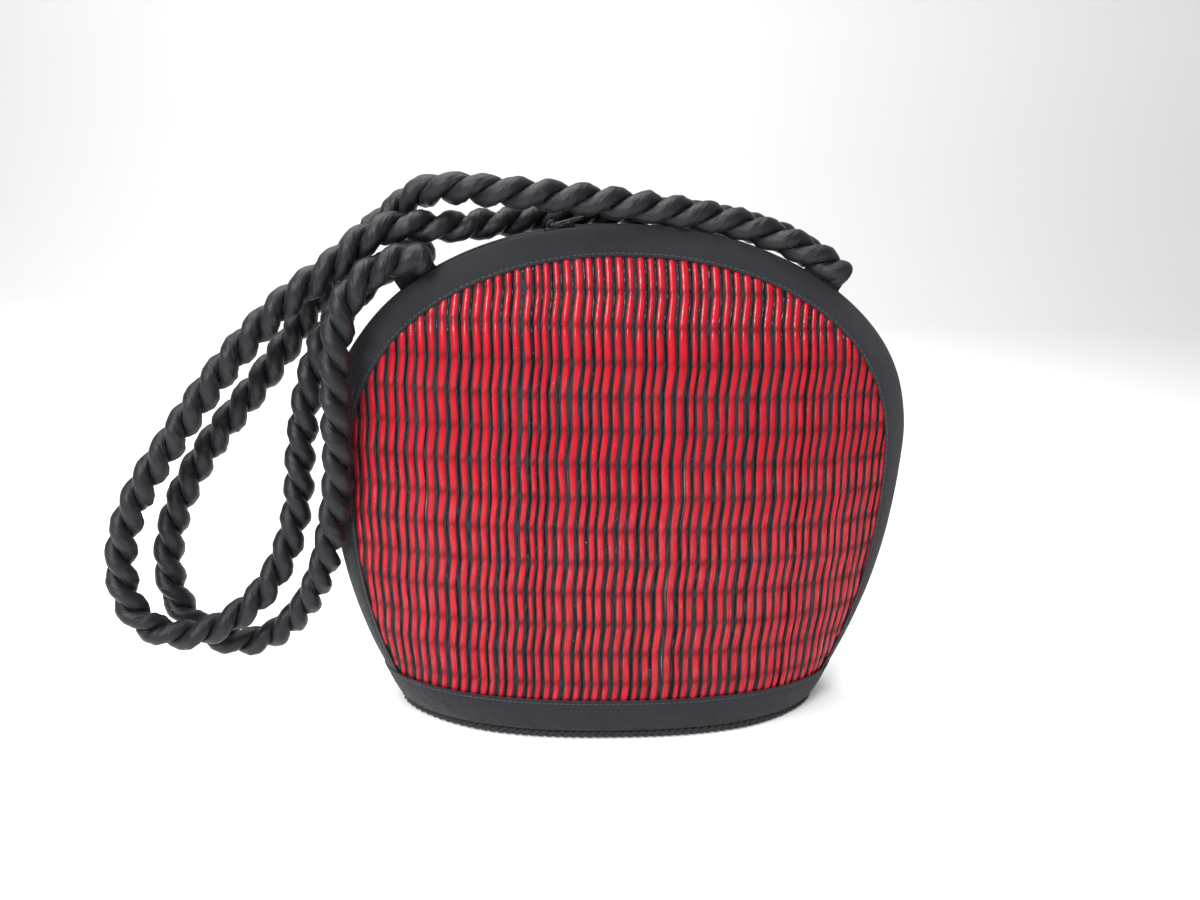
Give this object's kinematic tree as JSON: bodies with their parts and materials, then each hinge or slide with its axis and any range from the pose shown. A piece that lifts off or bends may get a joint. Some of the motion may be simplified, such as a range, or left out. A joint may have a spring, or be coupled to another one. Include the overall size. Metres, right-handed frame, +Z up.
{
  "type": "purse",
  "caption": "Round-topped handbag of two stiff woven reed walls on an oval base, with cloth edge bindings, a zip along the arch and two twisted rope handles.",
  "frame": {"origin": "middle of the underside of the oval base, on the surface that the purse stands on", "axes": "+X to the right seen from the front, +Z up, the front wall faces -Y"},
  "size_m": [0.3771, 0.0906, 0.2561],
  "materials": {
    "reed_mat": "dyed red and black reeds, rounded and slightly glossy",
    "binding_cloth": "matt black cotton binding",
    "base_cloth": "matt black cotton over a stiff board",
    "trim_cord": "black twisted trim cord",
    "zip_tape": "black woven zip tape",
    "zip_teeth": "black coil teeth",
    "zip_metal": "black enamelled metal, bright where it is rubbed",
    "rope_satin": "black satin, soft sheen, fine wrinkles"
  },
  "bodies": {
    "purse": {"front_panel": "reed_mat", "back_panel": "reed_mat", "front_binding": "binding_cloth", "back_binding": "binding_cloth", "base_band": "binding_cloth", "base_plate": "base_cloth", "base_trim": "trim_cord", "zip_tape_front": "zip_tape", "zip_tape_back": "zip_tape", "zip_chain": "zip_teeth", "zip_slider": "zip_metal", "tab_front_right": "binding_cloth", "tab_front_left": "binding_cloth", "tab_back_right": "binding_cloth", "tab_back_left": "binding_cloth", "handle_front": "rope_satin", "handle_back": "rope_satin"},
    "pull": {"zip_pull": "zip_metal"}
  },
  "joints": [
    {"name": "zip_pull_swing", "type": "hinge", "parent": "purse", "child": "pull", "pos_m": [-0.03779, 0, 0.23489], "axis": [0, -1, 0], "range_deg": [0, 165]}
  ]
}
